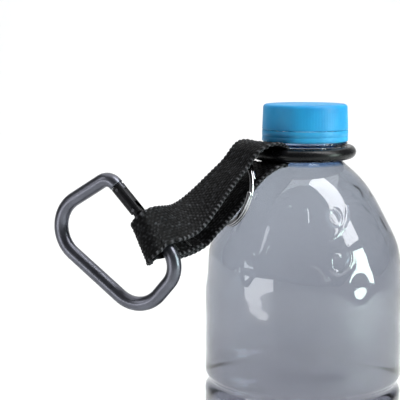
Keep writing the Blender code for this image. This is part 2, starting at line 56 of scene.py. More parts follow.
# ---- bottle, millimetres; depths are measured down from the cap's top ----
BODY_R = 35.5
WALL = 0.5
COLLAR = 22.5
INNER_FLOOR = 215.2
FLOOR_BEND = 213.0
NECK_R = 12.45
NECK_BORE = 10.9
LEDGE = (15.2, 13.45, 14.1)
SHOULDER = ((13.0, 15.2), (13.0, 19.6), (14.2, 21.1), (17.6, 23.9), (21.2, 27.5), (25.2, 33.0),
            (28.6, 39.0), (31.7, 45.2), (33.7, 50.0), (34.9, 55.5), (35.45, 63.0), (BODY_R, 72.0))
GROOVES = (100.0, 112.0, 124.0, 136.0)
GROOVE_DEEP = 1.5
GROOVE_HALF = 3.4
HEEL = ((BODY_R, 150.0), (BODY_R, 203.0), (35.0, 209.0), (33.2, 214.2), (30.6, 217.2), (28.0, 218.0))
FOOT = ((28.0, 218.0), (22.0, 218.0), (20.5, 216.4), (11.5, 216.4), (10.0, 218.0), (0.0, 218.0))
WATER_TOP = 20.6
WATER_IOR = 1.08
WATER_OVERLAP = 0.06
BOTTLE_COLUMNS = 320
PITCH = 3.0

# ---- shoulder relief: angles in degrees round the bottle, depths and sizes in millimetres ----
# A stroke is (angle, depth, angle, depth, sideways bow), an oval (angle, depth, half width, half height),
# a dimple (angle, depth, radius, deepness) and a pip (angle, depth, radius, height).
DIMPLES = ((-62.0, 60.0, 7.0, 0.5), (-100.0, 74.0, 8.0, 0.4), (-75.0, 84.0, 8.0, 0.4))
STROKES = ((-61.0, 34.0, -78.0, 44.0, 1.3), (-74.5, 41.0, -77.0, 43.0, 0.0),
           (-69.0, 46.0, -75.0, 55.0, 2.8), (-75.0, 55.0, -79.0, 49.5, 2.0),
           (-79.0, 49.5, -74.5, 49.5, 0.4), (-105.5, 34.0, -105.0, 38.5, 0.0),
           (-93.5, 35.0, -93.0, 39.0, 0.0), (-87.5, 48.0, -86.5, 49.0, 0.0),
           (-91.5, 50.0, -90.5, 50.5, 0.0), (-90.0, 51.5, -82.0, 56.5, 0.8),
           (-145.5, 39.5, -144.5, 43.0, 0.0))
OVALS = ((-73.0, 37.0, 2.1, 2.9),)
PIPS = ((-138.0, 31.5, 1.1, 0.45), (-115.0, 48.0, 1.0, 0.4), (-135.5, 55.5, 1.0, 0.4),
        (-103.0, 43.0, 0.7, 0.25))
RIDGE_HIGH = 0.5
RIDGE_HALF = 0.55
RELIEF_FOOT = 60.0
RIPPLE = 0.16
DENTS_FROM = 26.0
DENTS_TO = 88.0
SLOPE = 1.15
REPEATS = 3
FRONT_GROUP = math.radians(-103.0)
BACK_GROUPS_HIGH = 0.3

# ---- cap and band ----
CAP_R = 15.0
CAP_FOOT_R = 15.3
CAP_FOOT = 9.05
CAP_BORE = 13.75
BAND_TOP = 9.4
BAND_FOOT = 13.2
KNURLS = 90
KNURL_DEEP = 0.025
BRIDGES = 12

# ---- rubber ring ----
RING_R = 16.6
TUBE_R = 2.3
RING_TILT = math.radians(1.2)

# ---- strap ----
STRAP_W = 15.0
STRAP_RUN = 62.0
STRAP_T = 1.0
CAD_STRAP_T = 1.1
STRAP_AZIMUTH = math.radians(40.0)
STRAP_BOW = 0.6
LOOP_GAP = 0.4
TURN_R = 3.6
WIRE_GAP = 1.0
START_RISE = math.radians(22.4)
START_LEN = 34.0
END_DIR = Vector((-0.758, -0.26, 0.3))
END_LEN = 22.0
STRAP_SAG = 8.0
SAG_SKEW = 2.5
STRAP_SWAY = -2.0
TWIST_FROM = 0.206
TWIST_TO = 1.0
HUMP = 2.06
HUMP_END = 0.29
CUP_END = 0.22
FOLD_SKEW = 5.5
FOLD_FROM = 0.85
INNER_END = 0.63
OUTER_END = 0.82
STEP_FROM = 0.54
STEP_TO = INNER_END - 0.012
LAYER_STEP = 1.45
STITCHES = 44
STITCH_SPAN = 10.8
STITCH_HALF = 0.55
THREAD_R = 0.17
TACKS = ((0.685, "stitch_row_inner"), (0.765, "stitch_row_outer"))
WARP_PITCH = 1.08
WEFT_PITCH = 1.5
SELVEDGE = 1.0
BEAD_PITCH = 1.7
WEAVE_RELIEF = 0.36
BEAD_HIGH = 1.15
STATION_STEP = 0.27

# ---- key ring ----
KEY_R = 12.0
KEY_RADIAL = 1.7
KEY_AXIAL = 0.85
KEY_PITCH = 1.05
KEY_CORNER = 0.22
KEY_TURNS = 1.94
KEY_AT = 0.33

# ---- carabiner ----
WIRE_R = 2.4
ROD_SEGS = 40
LOOP_SLIDE = 1.2
PLANE_U = Vector((0.894, -0.447, 0.0)).normalized()
PLANE_N = Vector((-0.447, -0.894, 0.0)).normalized()
CORNERS = (((-18.0, 18.6), 4.2), ((-46.2, 1.6), 11.0), ((-6.1, -26.9), 11.0), ((9.0, -9.3), 8.4))
GATE_HINGE = 10.2
GATE_TIP = 20.2
TONGUE_HALF = 1.9
TONGUE_THICK = 1.6
HINGE_R = 1.55
BLACK_END_R = 7.4

# ---- camera: metres, degrees down, lens and sensor in millimetres ----
CAMERA_AT = (-0.0375, -0.400, 0.236)
CAMERA_DOWN = math.radians(7.5)
LENS = 100.8
SENSOR = 36.0

JOINTS = {joint["name"]: joint for joint in frame["joints"]}


def joint_point(name):
    return Vector(JOINTS[name]["pos_m"]) / MM


def smoothstep(x):
    x = max(0.0, min(1.0, x))
    return x * x * (3 - 2 * x)


# ------------------------------------------------------------------ meshes
def mesh_object(name, verts, faces, smooth=True):
    mesh = bpy.data.meshes.new(name)
    mesh.from_pydata([tuple(v) for v in verts], [], faces)
    mesh.update()
    bm = bmesh.new()
    bm.from_mesh(mesh)
    bmesh.ops.recalc_face_normals(bm, faces=bm.faces)
    bm.to_mesh(mesh)
    bm.free()
    mesh.polygons.foreach_set("use_smooth", [smooth] * len(mesh.polygons))
    obj = bpy.data.objects.new(name, mesh)
    bpy.context.scene.collection.objects.link(obj)
    return obj


def grid_faces(rows, columns, wrap_rows=False, start=0):
    """Quads of a grid whose columns close on themselves."""
    faces = []
    for i in range(rows if wrap_rows else rows - 1):
        a = start + i * columns
        b = start + ((i + 1) % rows) * columns
        for k in range(columns):
            n = (k + 1) % columns
            faces.append((a + k, a + n, b + n, b + k))
    return faces


def lathe(name, profile, columns, bend=None):
    """Turn (radius, depth) points about Z; bend(angle, radius, depth) may move each radius."""
    angles = np.linspace(0, 2 * math.pi, columns, endpoint=False)
    rows = [(r, d) for r, d in profile if r > 1e-6]
    verts = []
    for r, d in rows:
        radii = bend(angles, r, d) if bend else np.full(columns, r)
        verts.append(np.stack([radii * np.cos(angles), radii * np.sin(angles),
                               np.full(columns, HEIGHT - d)], 1))
    points = np.concatenate(verts) * MM
    closed = profile[0][0] > 1e-6
    faces = grid_faces(len(rows), columns, wrap_rows=closed)
    points = list(map(tuple, points))
    if not closed:
        for pole, row in ((0, 0), (-1, len(rows) - 1)):
            if profile[pole][0] > 1e-6:
                continue
            points.append((0.0, 0.0, (HEIGHT - profile[pole][1]) * MM))
            last = len(points) - 1
            for k in range(columns):
                faces.append((last, row * columns + k, row * columns + (k + 1) % columns))
    return mesh_object(name, points, faces)


def sweep(name, sections, closed=False, smooth=True):
    """Skin equal-length rings of millimetre points; open runs get end faces."""
    columns = len(sections[0])
    verts = [tuple(p * MM) for section in sections for p in section]
    faces = grid_faces(len(sections), columns, wrap_rows=closed)
    if not closed:
        faces.append(tuple(reversed(range(columns))))
        last = (len(sections) - 1) * columns
        faces.append(tuple(range(last, last + columns)))
    return mesh_object(name, verts, faces, smooth)


def tube_sections(points, radius, segs):
    """Round sections along a path, carried without twisting."""
    sections = []
    last = len(points) - 1
    normal = None
    for i, point in enumerate(points):
        tangent = (points[min(i + 1, last)] - points[max(i - 1, 0)]).normalized()
        if normal is None:
            normal = tangent.orthogonal().normalized()
        normal = (normal - tangent * normal.dot(tangent)).normalized()
        side = tangent.cross(normal)
        sections.append([point + (normal * math.cos(a) + side * math.sin(a)) * radius
                         for a in (2 * math.pi * k / segs for k in range(segs))])
    return sections


def join(name, objects):
    """Make several meshes one object."""
    bm = bmesh.new()
    for obj in objects:
        bm.from_mesh(obj.data)
        bpy.data.objects.remove(obj, do_unlink=True)
    mesh = bpy.data.meshes.new(name)
    bm.to_mesh(mesh)
    bm.free()
    result = bpy.data.objects.new(name, mesh)
    bpy.context.scene.collection.objects.link(result)
    return result


def chaikin(points, times=3):
    """Round an open outline by cutting its corners, keeping both ends."""
    for _ in range(times):
        cut = [points[0]]
        for (r0, d0), (r1, d1) in zip(points, points[1:]):
            cut.append((r0 * 0.75 + r1 * 0.25, d0 * 0.75 + d1 * 0.25))
            cut.append((r0 * 0.25 + r1 * 0.75, d0 * 0.25 + d1 * 0.75))
        cut.append(points[-1])
        points = cut
    return points


def place(piece, body, slot, *nodes):
    """Ride on a body and stand for CAD nodes, which are hidden; slot is not used."""
    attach(piece, body)
    if nodes:
        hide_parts(*nodes)


# ------------------------------------------------------------------ materials
class Shader:
    """Short way to build one procedural material."""

    def __init__(self, name, **values):
        self.mat = bpy.data.materials.new(name)
        self.mat.use_nodes = True
        self.tree = self.mat.node_tree
        self.surface = self.tree.nodes["Principled BSDF"]
        for key, value in values.items():
            self.surface.inputs[key.replace("_", " ")].default_value = value

    def node(self, kind, **values):
        node = self.tree.nodes.new(kind)
        for key, value in values.items():
            if hasattr(node, key):
                setattr(node, key, value)
            else:
                node.inputs[key.replace("_", " ")].default_value = value
        return node

    def link(self, output, target):
        self.tree.links.new(output, target)

    def coords(self):
        return self.node("ShaderNodeTexCoord").outputs["Object"]

    def noise(self, scale, detail=3.0, vector=None):
        node = self.node("ShaderNodeTexNoise", Scale=scale, Detail=detail)
        self.link(vector or self.coords(), node.inputs["Vector"])
        return node.outputs["Fac"]

    def ramp(self, fac, stops):
        node = self.node("ShaderNodeValToRGB")
        elements = node.color_ramp.elements
        while len(elements) < len(stops):
            elements.new(0.5)
        for element, (at, color) in zip(elements, stops):
            element.position = at
            element.color = (*color, 1.0) if len(color) == 3 else color
        self.link(fac, node.inputs["Fac"])
        return node.outputs["Color"]

    def span(self, value, low, high, to_low, to_high):
        node = self.node("ShaderNodeMapRange")
        for key, number in (("From Min", low), ("From Max", high), ("To Min", to_low), ("To Max", to_high)):
            node.inputs[key].default_value = number
        self.link(value, node.inputs["Value"])
        return node.outputs["Result"]

    def mix(self, fac, a, b):
        node = self.node("ShaderNodeMix", data_type="RGBA")
        self.link(fac, node.inputs[0])
        for value, target in ((a, node.inputs[6]), (b, node.inputs[7])):
            if isinstance(value, tuple):
                target.default_value = (*value, 1.0)
            else:
                self.link(value, target)
        return node.outputs[2]

    def bump(self, height, strength, distance):
        node = self.node("ShaderNodeBump", Strength=strength, Distance=distance)
        self.link(height, node.inputs["Height"])
        self.link(node.outputs["Normal"], self.surface.inputs["Normal"])

    def color(self, output):
        self.link(output, self.surface.inputs["Base Color"])

    def roughness(self, output):
        self.link(output, self.surface.inputs["Roughness"])

    def height_mask(self, depth_low, depth_high, soft=0.15):
        """1 between two depths below the cap's top, fading over a soft edge."""
        split = self.node("ShaderNodeSeparateXYZ")
        self.link(self.coords(), split.inputs[0])
        z = split.outputs["Z"]
        rise = self.span(z, (HEIGHT - depth_high - soft) * MM, (HEIGHT - depth_high) * MM, 0.0, 1.0)
        fall = self.span(z, (HEIGHT - depth_low) * MM, (HEIGHT - depth_low + soft) * MM, 1.0, 0.0)
        both = self.node("ShaderNodeMath", operation="MULTIPLY")
        self.link(rise, both.inputs[0])
        self.link(fall, both.inputs[1])
        return both.outputs[0]


def pet_material():
    s = Shader("clear_pet_look", Roughness=0.03, IOR=1.5, Transmission_Weight=1.0)
    clear = (0.92, 0.935, 0.96)
    # Painted refraction: the blue bands at the neck ledge and at the neck root copy the blue cap seen
    # through the clear plastic.
    painted_cap_refraction = s.ramp(s.noise(34.0), ((0.42, (0.22, 0.38, 0.66)), (0.62, (0.6, 0.72, 0.9))))
    ledge = s.mix(s.height_mask(13.3, 14.6, 0.1), clear, painted_cap_refraction)
    root = s.mix(s.height_mask(20.1, 21.3, 0.25), ledge, painted_cap_refraction)
    s.color(root)
    s.bump(s.noise(60.0, 2.0), 0.12, 0.0006)
    return s.mat


def water_material():
    s = Shader("water_look", Roughness=0.0, IOR=WATER_IOR, Transmission_Weight=1.0)
    # Painted shade: the grey tint stands in for the darker surroundings seen through the water, and the
    # height mask makes it darker towards the bottom.
    pale = s.ramp(s.noise(22.0, 2.0), ((0.3, (0.37, 0.39, 0.43)), (0.7, (0.43, 0.45, 0.495))))
    shaded_water_tint = s.ramp(s.noise(22.0, 2.0), ((0.3, (0.165, 0.165, 0.198)), (0.7, (0.205, 0.206, 0.242))))
    s.color(s.mix(s.height_mask(WATER_TOP, 30.0, 75.0), shaded_water_tint, pale))
    return s.mat


def blue_plastic(name, light):
    s = Shader(name, Roughness=0.45, IOR=1.45, Subsurface_Weight=0.35, Subsurface_Scale=0.004)
    s.surface.inputs["Subsurface Radius"].default_value = (0.25, 0.6, 1.0)
    s.surface.inputs["Specular IOR Level"].default_value = 0.35
    deep, pale = (0.008, 0.21, 0.46), (0.012, 0.27, 0.54)
    if light:
        deep, pale = (0.012, 0.21, 0.44), (0.024, 0.29, 0.55)
    s.color(s.ramp(s.noise(90.0, 4.0), ((0.35, deep), (0.65, pale))))
    s.roughness(s.span(s.noise(420.0, 3.0), 0.3, 0.7, 0.42, 0.54))
    s.bump(s.noise(900.0, 2.0), 0.08, 0.0002)
    return s.mat


def rubber_material():
    s = Shader("black_rubber_look", Roughness=0.36, IOR=1.45)
    s.surface.inputs["Specular IOR Level"].default_value = 0.24
    s.color(s.ramp(s.noise(160.0, 4.0), ((0.35, (0.002, 0.002, 0.0025)), (0.7, (0.006, 0.006, 0.007)))))
    s.roughness(s.span(s.noise(500.0, 4.0), 0.3, 0.7, 0.25, 0.31))
    s.bump(s.noise(1500.0, 3.0), 0.12, 0.0001)
    return s.mat


def webbing_material():
    s = Shader("black_nylon_look", Roughness=0.6, IOR=1.45)
    s.surface.inputs["Specular IOR Level"].default_value = 0.1
    attribute = s.node("ShaderNodeAttribute", attribute_name="yarn")
    # Painted highlight and shade: the yarn height lightens the yarn tops and the selvedge beads and darkens
    # the gaps between the yarns.
    base = s.ramp(attribute.outputs["Fac"], ((0.2, (0.0008, 0.0008, 0.001)), (0.6, (0.0035, 0.0035, 0.004)),
                                              (0.8, (0.014, 0.014, 0.016)), (1.0, (0.09, 0.09, 0.098))))
    # Painted glints: bright flecks on the raised yarns stand in for sheen.
    painted_glint = s.ramp(s.noise(780.0, 2.0), ((0.52, (0.0, 0.0, 0.0)), (0.72, (1.0, 1.0, 1.0))))
    amount = s.node("ShaderNodeMath", operation="MULTIPLY")
    s.link(painted_glint, amount.inputs[0])
    s.link(attribute.outputs["Fac"], amount.inputs[1])
    s.color(s.mix(amount.outputs[0], base, (0.05, 0.052, 0.058)))
    s.roughness(s.span(s.noise(900.0, 2.0), 0.3, 0.7, 0.42, 0.7))
    s.bump(s.noise(3200.0, 2.0), 0.35, 0.0001)
    return s.mat


def thread_material():
    s = Shader("black_thread_look", Roughness=0.5, Sheen_Weight=0.1)
    s.color(s.ramp(s.noise(1400.0, 3.0), ((0.35, (0.012, 0.012, 0.014)), (0.7, (0.05, 0.05, 0.056)))))
    s.bump(s.noise(4200.0, 2.0), 0.3, 0.0001)
    return s.mat


def metal_material(name, dark, pale, rough, metallic=1.0, grain=600.0, bump=0.05):
    s = Shader(name, Metallic=metallic, Roughness=rough)
    s.color(s.ramp(s.noise(grain / 4, 4.0), ((0.35, dark), (0.65, pale))))
    s.roughness(s.span(s.noise(grain, 4.0), 0.3, 0.7, rough * 0.8, rough * 1.25))
    s.bump(s.noise(grain * 2.5, 2.0), bump, 0.0001)
    return s.mat


def carabiner_material():
    """Grey anodising, with the frame near the hinge end coloured black."""
    s = Shader("grey_anodised_look", Metallic=0.95)
    grey = s.ramp(s.noise(150.0, 4.0), ((0.35, (0.088, 0.09, 0.108)), (0.65, (0.122, 0.125, 0.15))))
    distance = s.node("ShaderNodeVectorMath", operation="DISTANCE")
    s.link(s.coords(), distance.inputs[0])
    distance.inputs[1].default_value = gate_point(GATE_HINGE - 4.0) * MM
    black = s.span(distance.outputs["Value"], (BLACK_END_R - 0.2) * MM, (BLACK_END_R + 0.2) * MM, 1.0, 0.0)
    s.color(s.mix(black, grey, (0.007, 0.007, 0.008)))
    s.roughness(s.span(s.noise(600.0, 4.0), 0.3, 0.7, 0.27, 0.35))
    s.bump(s.noise(1500.0, 2.0), 0.05, 0.0001)
    return s.mat


def paint(obj, mat):
    obj.data.materials.clear()
    obj.data.materials.append(mat)


# ------------------------------------------------------------------ bottle
def groove_radius(depth):
    cut = 0.0
    for middle in GROOVES:
        x = abs(depth - middle) / GROOVE_HALF
        if x < 1:
            cut = max(cut, GROOVE_DEEP * 0.5 * (1 + math.cos(math.pi * x)))
    return BODY_R - cut


def resample(points, step):
    """Split the long runs of an outline into short ones."""
    fine = [points[0]]
    for (r0, d0), (r1, d1) in zip(points, points[1:]):
        count = max(1, round(math.hypot(r1 - r0, d1 - d0) / step))
        fine += [(r0 + (r1 - r0) * k / count, d0 + (d1 - d0) * k / count) for k in range(1, count + 1)]
    return fine


def body_outline():
    """Outer profile from the collar to the foot."""
    wall = [(groove_radius(d), d) for d in np.arange(73.0, 150.0, 0.85)]
    return resample(chaikin(list(SHOULDER)), 0.5) + wall + chaikin(list(HEEL))


def outline_radius(depth):
    radii, depths = zip(*body_outline())
    return float(np.interp(depth, depths, radii))


def shift_outline(points, distance):
    """Move an open profile inwards by a constant normal distance."""
    moved = []
    for i, (r, d) in enumerate(points):
        r0, d0 = points[max(i - 1, 0)]
        r1, d1 = points[min(i + 1, len(points) - 1)]
        length = math.hypot(r1 - r0, d1 - d0) or 1.0
        moved.append((r - distance * (d1 - d0) / length, d + distance * (r1 - r0) / length))
    return moved


def across_from(angles, degrees, radius):
    """Distance round the wall from a direction, with the pattern repeated round the bottle."""
    step = 2 * math.pi / REPEATS
    away = np.mod(angles - math.radians(degrees) + step / 2, step) - step / 2
    return away * radius


def segment_distance(x, y, x0, y0, x1, y1):
    dx, dy = x1 - x0, y1 - y0
    t = np.clip(((x - x0) * dx + (y - y0) * dy) / (dx * dx + dy * dy), 0, 1)
    return np.hypot(x - x0 - t * dx, y - y0 - t * dy)


def stroke_points(stroke, radius, depth):
    """A bowed stroke as (across, below) points from its start, unrolled on the wall."""
    angle0, depth0, angle1, depth1, bow = stroke
    x1, y0 = math.radians(angle1 - angle0) * radius, (depth0 - depth) * SLOPE
    rise = (depth1 - depth0) * SLOPE
    length = math.hypot(x1, rise)
    for k in range(5 if bow else 2):
        t = k / (4 if bow else 1)
        out = bow * 4 * t * (1 - t) / length
        yield x1 * t + rise * out, y0 + rise * t - x1 * out


def relief(angles, radius, depth):
    """Raised strokes, ovals and pips moulded into the shoulder."""
    high = np.zeros_like(angles)
    for stroke in STROKES:
        if not min(stroke[1], stroke[3]) - 3 < depth < max(stroke[1], stroke[3]) + 3:
            continue
        x = across_from(angles, stroke[0], radius)
        near = np.full(len(angles), 9.0)
        points = list(stroke_points(stroke, radius, depth))
        for (x0, y0), (x1, y1) in zip(points, points[1:]):
            near = np.minimum(near, segment_distance(x, 0.0, x0, y0, x1, y1))
        high = np.maximum(high, np.exp(-(near / RIDGE_HALF) ** 2))
    for degrees, middle, wide, tall in OVALS:
        x, y = across_from(angles, degrees, radius) / wide, (depth - middle) * SLOPE / tall
        near = np.abs(np.hypot(x, y) - 1) * wide
        high = np.maximum(high, np.exp(-(near / RIDGE_HALF) ** 2))
    high *= RIDGE_HIGH
    for degrees, middle, size, tall in PIPS:
        far = np.hypot(across_from(angles, degrees, radius), (depth - middle) * SLOPE) / size
        high = np.maximum(high, tall * np.sqrt(np.clip(1 - far ** 2, 0, 1)))
    return high * np.where(np.cos(angles - FRONT_GROUP) > 0.5, 1.0, BACK_GROUPS_HIGH)


def dent(angles, depth):
    """Soft hollows and slow ripples in the thin wall, always inwards."""
    fade = smoothstep((depth - DENTS_FROM) / 12.0) * (1 - smoothstep((depth - DENTS_TO) / 8.0))
    ripple = np.sin(3 * angles + depth * 0.11) * np.sin(5 * angles - depth * 0.23 + 1.3)
    depth_in = fade * RIPPLE * (1 + ripple)
    for degrees, middle, size, deep in DIMPLES:
        far = np.hypot(across_from(angles, degrees, BODY_R * 0.9), (depth - middle) * 0.8) / size
        inside = np.clip(1 - far, 0, 1)
        depth_in += deep * (3 * inside ** 2 - 2 * inside ** 3)
    return depth_in


def wall_bend(angles, radius, depth):
    """Radius of the wall all the way round: the outline, its dents and, outside only, its relief."""
    if depth < 24.0 or radius < 16.0:
        return np.full(len(angles), radius)
    outside = radius > outline_radius(depth) - 0.2
    high = relief(angles, radius, depth) if depth < RELIEF_FOOT and outside else 0.0
    return radius - dent(angles, depth) + high


def helix(name, root_r, crest_r, start_depth, turns):
    """A tapering thread ridge whose root is buried in the wall."""
    sections = []
    per_turn = 64
    total = int(turns * per_turn)
    for k in range(total + 1):
        a = 2 * math.pi * k / per_turn
        fade = min(1.0, k / 6.0, (total - k) / 6.0)
        crest = root_r + (crest_r - root_r) * (0.25 + 0.75 * fade)
        z = HEIGHT - start_depth + PITCH * k / per_turn
        outline = ((root_r, 0.62), (root_r * 0.3 + crest * 0.7, 0.48), (crest, 0.28), (crest, -0.28),
                   (root_r * 0.3 + crest * 0.7, -0.48), (root_r, -0.62))
        sections.append([Vector((r * math.cos(a), r * math.sin(a), z + h)) for r, h in outline])
    return sweep(name, sections)


def build_bottle(pet):
    neck = chaikin([(NECK_BORE, 3.2), (NECK_BORE + 0.1, 2.1), (NECK_R - 0.1, 2.1), (NECK_R, 3.0)], 2)
    ledge_r, top, bottom = LEDGE
    ledge = [(NECK_R, top - 0.25), (NECK_R + 0.35, top), (ledge_r - 0.25, top), (ledge_r, top + 0.2),
             (ledge_r, bottom - 0.2), (ledge_r - 0.25, bottom), (13.0, bottom + 0.12)]
    body = body_outline()
    foot = chaikin(list(FOOT), 2)
    outer = neck + ledge + body + foot[1:]
    inner = shift_outline([p for p in body if p[1] > COLLAR], WALL)
    inner = [(NECK_BORE, 18.0), (11.6, 20.6)] + [p for p in inner if p[0] > 14.0]
    inner = [p for p in inner if p[1] < FLOOR_BEND] + [(29.5, INNER_FLOOR), (0.0, INNER_FLOOR)]
    profile = list(reversed(outer)) + inner
    shell = lathe("bottle_wall", profile, BOTTLE_COLUMNS, wall_bend)
    ridge = helix("bottle_thread", NECK_R - 0.35, 13.35, 8.0, 1.25)
    bottle = join("clear_bottle", [shell, ridge])
    bottle.data.polygons.foreach_set("use_smooth", [True] * len(bottle.data.polygons))
    paint(bottle, pet)
    place(bottle, "bottle", "clear_pet", "bottle_shell")


def build_water(water):
    """Water that just enters the wall, so that light passes from one to the other."""
    wall = shift_outline([p for p in body_outline() if p[1] > COLLAR], WALL - WATER_OVERLAP)
    wall = [p for p in wall if p[0] > 14.0 and p[1] < FLOOR_BEND]
    surface = [(0.0, WATER_TOP), (10.6, WATER_TOP), (11.4, WATER_TOP - 0.12), (11.66, WATER_TOP)]
    profile = surface + wall + [(29.6, INNER_FLOOR - 0.05), (0.0, INNER_FLOOR - 0.05)]
    piece = lathe("drinking_water", profile, BOTTLE_COLUMNS, wall_bend)
    paint(piece, water)
    place(piece, "bottle", "water", "water_fill")


# ------------------------------------------------------------------ cap and band
def build_cap(blue, white):
    side = [(0.0, 0.0), (9.0, 0.0), (13.2, 0.02), (14.1, 0.12), (14.6, 0.36), (14.88, 0.75), (CAP_R, 1.3)]
    side += [(CAP_R + (CAP_FOOT_R - CAP_R) * t, 1.3 + (CAP_FOOT - 1.5) * t)
             for t in np.linspace(0.1, 0.92, 9)]
    side += [(CAP_FOOT_R, CAP_FOOT - 0.15), (CAP_FOOT_R - 0.12, CAP_FOOT), (CAP_BORE, CAP_FOOT),
             (CAP_BORE, 1.9), (CAP_BORE - 0.4, 1.35), (0.0, 1.35)]

    def knurl(angles, radius, depth):
        if radius < CAP_R - 0.05 or depth > CAP_FOOT - 0.7:
            return np.full(len(angles), radius)
        fade = smoothstep((depth - 1.2) / 1.2)
        return radius - KNURL_DEEP * fade * (1 - np.abs(np.cos(angles * KNURLS / 2)))

    shell = lathe("cap_outer", side, KNURLS * 4, knurl)
    ridge = helix("cap_thread", CAP_BORE + 0.3, 12.85, 8.0 - PITCH / 2, 1.0)
    cap = join("blue_screw_cap", [shell, ridge])
    cap.data.polygons.foreach_set("use_smooth", [True] * len(cap.data.polygons))
    paint(cap, blue)
    place(cap, "cap", "cap_plastic", "screw_cap")
    paint(frame["nodes"]["cap_liner"], white)


def build_band(blue):
    outer = [(CAP_FOOT_R - 0.15, BAND_TOP - 0.25), (CAP_FOOT_R, BAND_TOP - 0.1), (CAP_FOOT_R, 11.2),
             (CAP_FOOT_R - 0.12, 11.35), (CAP_FOOT_R, 11.5), (CAP_FOOT_R, BAND_FOOT - 0.3),
             (CAP_FOOT_R - 0.1, BAND_FOOT - 0.08), (CAP_FOOT_R - 0.3, BAND_FOOT)]
    inner = [(13.35, BAND_FOOT), (12.9, BAND_FOOT - 1.2), (13.3, BAND_FOOT - 1.9), (13.8, BAND_TOP)]
    ring = lathe("band_ring", outer + inner, 144)
    pieces = [ring]
    for k in range(BRIDGES):
        a = 2 * math.pi * (k + 0.5) / BRIDGES
        radial = Vector((math.cos(a), math.sin(a), 0.0))
        side = UP.cross(radial)
        middle = radial * 14.75 + UP * (HEIGHT - BAND_TOP)
        section = [(-0.35, -0.3), (0.35, -0.3), (0.35, 0.3), (-0.35, 0.3)]
        rows = [[middle + side * (x * w) + radial * (y * w) + UP * h for x, y in section]
                for h, w in ((-0.3, 1.0), (0.1, 1.0), (0.24, 0.6))]
        pieces.append(sweep("bridge", rows))
    band = join("tamper_band_look", pieces)
    paint(band, blue)
    place(band, "band", "band_plastic", "tamper_band")


# ------------------------------------------------------------------ rubber ring
def ring_frame():
    out_flat = Vector((-math.cos(STRAP_AZIMUTH), -math.sin(STRAP_AZIMUTH), 0.0))
    side = UP.cross(out_flat)
    out = out_flat * math.cos(RING_TILT) - UP * math.sin(RING_TILT)
    return joint_point("strap_swing") - out * RING_R, out, side, out.cross(side)


def build_ring(rubber):
    centre, out, side, up = ring_frame()
    sections = []
    for k in range(160):
        a = 2 * math.pi * k / 160
        radial = out * math.cos(a) + side * math.sin(a)
        ring = []
        for j in range(28):
            b = 2 * math.pi * j / 28
            flash = 0.05 * math.exp(-(math.sin(b) / 0.06) ** 2)
            r = TUBE_R - 0.05 + flash
            ring.append(centre + radial * (RING_R + r * math.cos(b)) + up * (r * math.sin(b)))
        sections.append(ring)
    piece = sweep("rubber_neck_ring", sections, closed=True)
    paint(piece, rubber)
    place(piece, "rubber_ring", "ring_rubber", "neck_ring")


# ------------------------------------------------------------------ strap
def gate_direction():
    (au, av), _ = CORNERS[0]
    (du, dv), _ = CORNERS[3]
    length = math.hypot(au - du, av - dv)
    return (au - du) / length, (av - dv) / length


def wire_direction():
    gu, gv = gate_direction()
    return -(PLANE_U * gu + UP * gv)


def strap_centre(a):
    side = ring_frame()[2]
    out_flat = UP.cross(side) * -1
    p0, p1 = joint_point("strap_swing"), joint_point("carabiner_swing")
    wire = wire_direction()
    start_dir = out_flat * math.cos(START_RISE) + UP * math.sin(START_RISE)
    end_dir = (END_DIR - wire * END_DIR.dot(wire)).normalized()
    point = p0 * (2 * a ** 3 - 3 * a ** 2 + 1) + start_dir * (START_LEN * (a ** 3 - 2 * a ** 2 + a))
    point += p1 * (3 * a ** 2 - 2 * a ** 3) + end_dir * (END_LEN * (a ** 3 - a ** 2))
    swell = math.sin(math.pi * a) ** 2
    drop = STRAP_SAG - SAG_SKEW * math.cos(math.pi * a)
    return point - UP * (drop * swell) + side * (STRAP_SWAY * swell)


def strap_frame(a):
    """Middle of the doubled strap at fraction a: point, run, width and face directions."""
    run = (strap_centre(a + 0.001) - strap_centre(a - 0.001)).normalized()
    blend = smoothstep((a - TWIST_FROM) / (TWIST_TO - TWIST_FROM))
    width = ring_frame()[2] * (1 - blend) + wire_direction() * blend
    width = (width - run * width.dot(run)).normalized()
    return strap_centre(a), run, width, run.cross(width).normalized()


def half_gap(a):
    ring_half = TUBE_R + LOOP_GAP + CAD_STRAP_T / 2
    wire_half = WIRE_R + WIRE_GAP + CAD_STRAP_T / 2
    return ring_half + (wire_half - ring_half) * smoothstep(a) + STRAP_BOW * math.sin(math.pi * a)


def hump(a):
    """Extra lift of the front layer where the stiff webbing bulges past the ring."""
    return HUMP * math.sin(math.pi * a / HUMP_END) ** 2 if a < HUMP_END else 0.0


def fold_shift(a, run):
    """Shift per unit across the strap that lets one side of the fold hang further out."""
    return run * (FOLD_SKEW * smoothstep((a - FOLD_FROM) / (1 - FOLD_FROM)))


def cup_at(a):
    """1 where the webbing cups round the rubber ring, fading along the strap."""
    return 1.0 - smoothstep(a / CUP_END)


